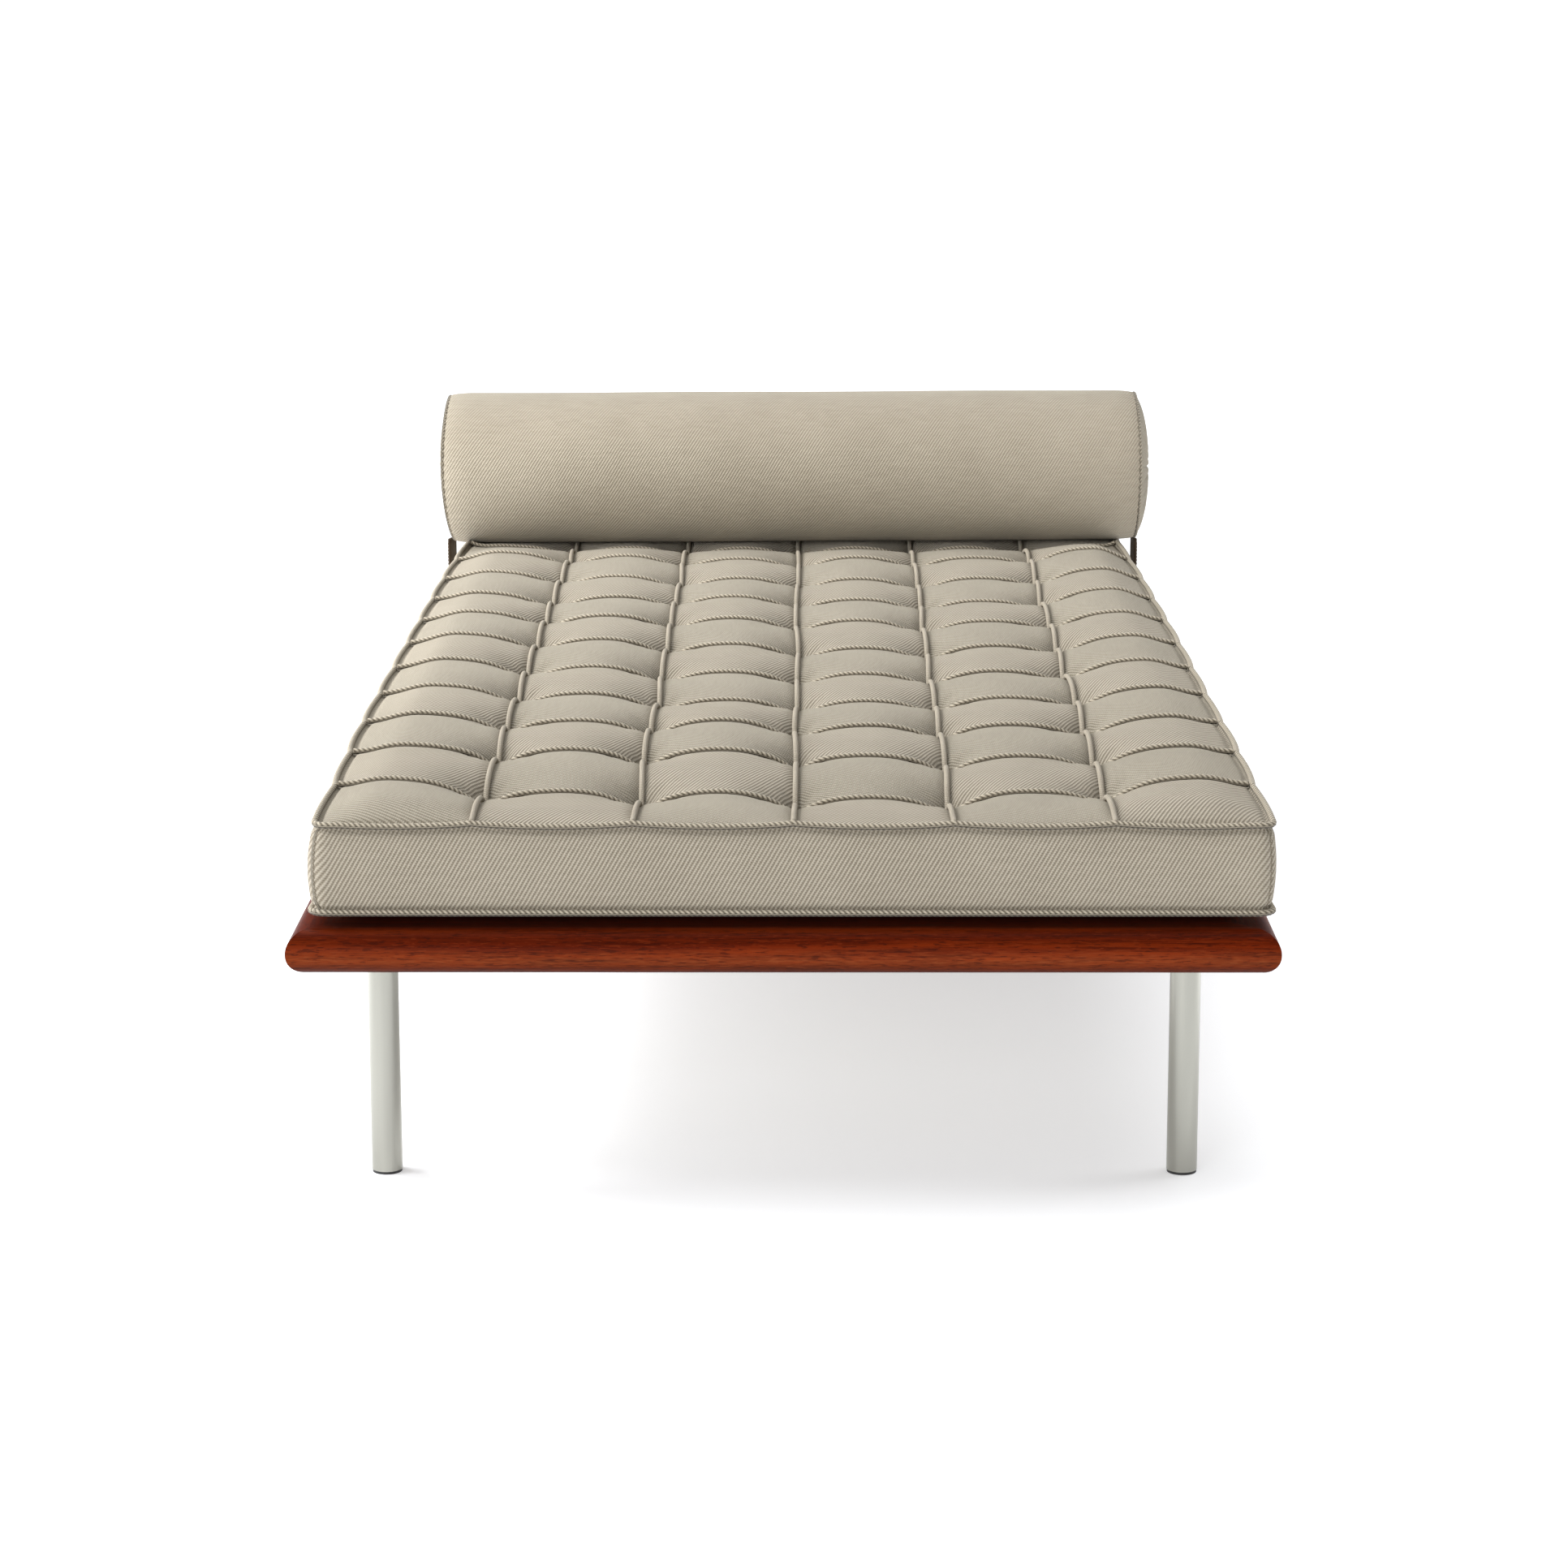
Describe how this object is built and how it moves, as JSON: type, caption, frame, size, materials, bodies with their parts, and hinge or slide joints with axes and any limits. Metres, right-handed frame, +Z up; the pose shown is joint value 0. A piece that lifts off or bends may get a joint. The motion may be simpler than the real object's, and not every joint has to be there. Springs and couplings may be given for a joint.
{
  "type": "daybed",
  "caption": "Low daybed: bullnose hardwood frame on round steel tube legs, tufted box mattress and a full-width round bolster held by leather straps.",
  "frame": {"origin": "centre of the footprint at floor level, under the middle of the bed", "axes": "+X is the width to the right seen from the foot end, +Y runs from the foot end to the bolster end, +Z is up"},
  "size_m": [1.0262, 1.98, 0.616],
  "materials": {
    "frame_wood": "satin oiled mahogany-red hardwood",
    "spline_wood": "raw birch plywood",
    "webbing_rubber": "matte",
    "screw_steel": "zinc plated",
    "leg_steel": "satin brushed stainless",
    "hidden_steel": "machined",
    "glide_nylon": "matte",
    "insert_brass": "machined",
    "snap_metal": "satin nickel",
    "foam": "open-cell foam",
    "tuft_twine": "waxed twine",
    "anchor_nylon": "matte",
    "upholstery_fabric": "greige twill",
    "strap_leather": "dark brown, satin"
  },
  "bodies": {
    "frame": {"foot_end_rail": "frame_wood", "head_end_rail": "frame_wood", "left_side_rail": "frame_wood", "right_side_rail": "frame_wood", "centre_cross_rail": "frame_wood", "mitre_spline_foot_left": "spline_wood", "mitre_spline_foot_right": "spline_wood", "mitre_spline_head_left": "spline_wood", "mitre_spline_head_right": "spline_wood", "webbing_band_01": "webbing_rubber", "webbing_band_02": "webbing_rubber", "webbing_band_03": "webbing_rubber", "webbing_band_04": "webbing_rubber", "webbing_band_05": "webbing_rubber", "webbing_band_06": "webbing_rubber", "webbing_band_07": "webbing_rubber", "webbing_band_08": "webbing_rubber", "webbing_band_09": "webbing_rubber", "webbing_band_10": "webbing_rubber", "webbing_screws": "screw_steel", "leg_tube_foot_left": "leg_steel", "leg_plug_foot_left": "hidden_steel", "foot_glide_foot_left": "glide_nylon", "leg_tube_foot_right": "leg_steel", "leg_plug_foot_right": "hidden_steel", "foot_glide_foot_right": "glide_nylon", "leg_tube_head_left": "leg_steel", "leg_plug_head_left": "hidden_steel", "foot_glide_head_left": "glide_nylon", "leg_tube_head_right": "leg_steel", "leg_plug_head_right": "hidden_steel", "foot_glide_head_right": "glide_nylon", "leg_studs": "hidden_steel", "leg_inserts": "insert_brass", "snap_stud_left": "snap_metal", "snap_stud_right": "snap_metal"},
    "mattress": {"mattress_foam_core": "foam", "mattress_top_cover": "upholstery_fabric", "mattress_boxing": "upholstery_fabric", "mattress_bottom_cover": "upholstery_fabric", "mattress_top_welt": "upholstery_fabric", "mattress_bottom_welt": "upholstery_fabric", "transverse_welts": "upholstery_fabric", "lengthwise_welts": "upholstery_fabric", "tufting_buttons": "upholstery_fabric", "tufting_cords": "tuft_twine", "tufting_anchors": "anchor_nylon"},
    "bolster": {"bolster_foam_core": "foam", "bolster_cover": "upholstery_fabric", "bolster_end_left": "upholstery_fabric", "bolster_welt_left": "upholstery_fabric", "bolster_button_left": "upholstery_fabric", "bolster_end_right": "upholstery_fabric", "bolster_welt_right": "upholstery_fabric", "bolster_button_right": "upholstery_fabric"},
    "strap_left": {"bolster_strap_left": "strap_leather", "snap_cap_left": "snap_metal"},
    "strap_right": {"bolster_strap_right": "strap_leather", "snap_cap_right": "snap_metal"}
  },
  "joints": [
    {"name": "mattress_lift", "type": "slide", "parent": "frame", "child": "mattress", "axis": [0, 0, 1], "range_m": [0, 0.35]},
    {"name": "bolster_lift", "type": "slide", "parent": "mattress", "child": "bolster", "axis": [0, 0, 1], "range_m": [0, 0.3]},
    {"name": "strap_left_swing", "type": "hinge", "parent": "bolster", "child": "strap_left", "pos_m": [-0.4975, 0.855, 0.4015], "axis": [0, 1, 0], "range_deg": [0, 80]},
    {"name": "strap_right_swing", "type": "hinge", "parent": "bolster", "child": "strap_right", "pos_m": [0.4975, 0.855, 0.4015], "axis": [0, 1, 0], "range_deg": [-80, 0]}
  ]
}
